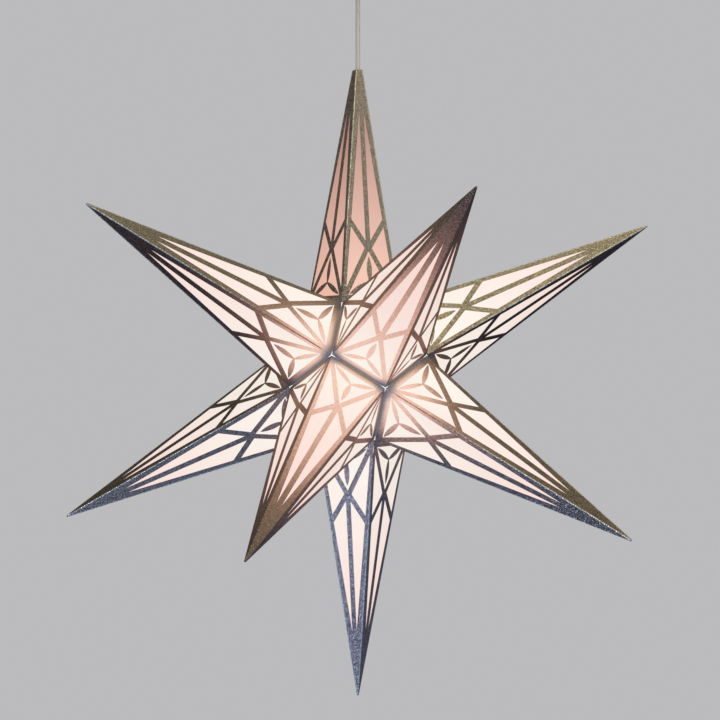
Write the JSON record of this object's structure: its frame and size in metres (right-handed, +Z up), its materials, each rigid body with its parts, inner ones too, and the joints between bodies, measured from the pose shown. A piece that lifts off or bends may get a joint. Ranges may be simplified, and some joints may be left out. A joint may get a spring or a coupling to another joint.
{
  "type": "hanging christmas star light",
  "caption": "Hanging Christmas star of folded card points with a silver lattice print, lit from inside by an LED bulb and hung on its cord from a ceiling rose.",
  "frame": {"origin": "middle of the top face of the ceiling rose's bracket, which lies against the ceiling", "axes": "+Z up, square to the ceiling; +X along the bracket; the picture looks along +Y"},
  "size_m": [0.5822, 0.5538, 0.755],
  "materials": {
    "card": "matt white card, lit from inside",
    "silver_print": "fine glittering silver print on card",
    "cord_sheath": "satin off-white",
    "core_insulation": "satin",
    "white_plastic": "satin white moulding",
    "black_plastic": "satin black moulding",
    "brass": "plain",
    "zinc_steel": "zinc plated",
    "white_enamel": "satin white enamel",
    "opal_diffuser": "opal, lit",
    "board_aluminium": "white solder mask",
    "led_phosphor": "phosphor"
  },
  "bodies": {
    "lamp": {"rose_bracket": "zinc_steel", "bracket_screws": "zinc_steel", "cord_anchor": "white_plastic", "anchor_clamp_screw": "zinc_steel", "terminal_block": "white_plastic", "terminal_tubes": "brass", "terminal_screws": "zinc_steel", "supply_cores": "core_insulation", "rose_cord": "cord_sheath", "hanging_cord": "cord_sheath", "lamp_cord": "cord_sheath", "lamp_cores": "core_insulation", "cord_stop": "white_plastic", "cord_stop_screw": "zinc_steel", "holder_gland": "white_plastic", "holder_cap": "white_plastic", "holder_body": "white_plastic", "holder_insert": "black_plastic", "holder_shell": "brass", "holder_contacts": "brass", "holder_screws": "zinc_steel"},
    "star": {"spike_top": "card", "spike_bottom": "card", "spike_upper_right": "card", "spike_upper_back_left": "card", "spike_upper_left": "card", "spike_upper_front": "card", "spike_lower_back_right": "card", "spike_lower_back": "card", "spike_lower_left": "card", "spike_lower_front": "card", "spike_lower_right": "card", "hinge_flap": "card", "hanger_plug": "white_plastic", "cover_disc": "white_plastic"},
    "service_point": {"service_spike": "card"},
    "bulb": {"bulb_globe": "opal_diffuser", "bulb_collar": "white_plastic", "led_board": "board_aluminium", "led_chips": "led_phosphor", "bulb_screw_cap": "brass", "bulb_insulator": "black_plastic", "bulb_contact": "brass"},
    "rose_cover": {"canopy": "white_enamel", "canopy_grip": "white_plastic", "grip_nut": "zinc_steel", "grip_screw": "zinc_steel"}
  },
  "joints": [
    {"name": "star_swivel", "type": "hinge", "parent": "lamp", "child": "star", "pos_m": [0, 0, -0.43], "axis": [0, 0, 1], "continuous": true},
    {"name": "service_hinge", "type": "hinge", "parent": "star", "child": "service_point", "pos_m": [0.01255, 0.03862, -0.3643], "axis": [0.9511, -0.309, 0], "range_deg": [0, 70]},
    {"name": "bulb_turn", "type": "hinge", "parent": "lamp", "child": "bulb", "pos_m": [0, 0, -0.43], "axis": [0, 0, -1], "range_deg": [0, 1080]},
    {"name": "canopy_slide", "type": "slide", "parent": "lamp", "child": "rose_cover", "axis": [0, 0, 1], "range_m": [-0.05, 0]}
  ]
}
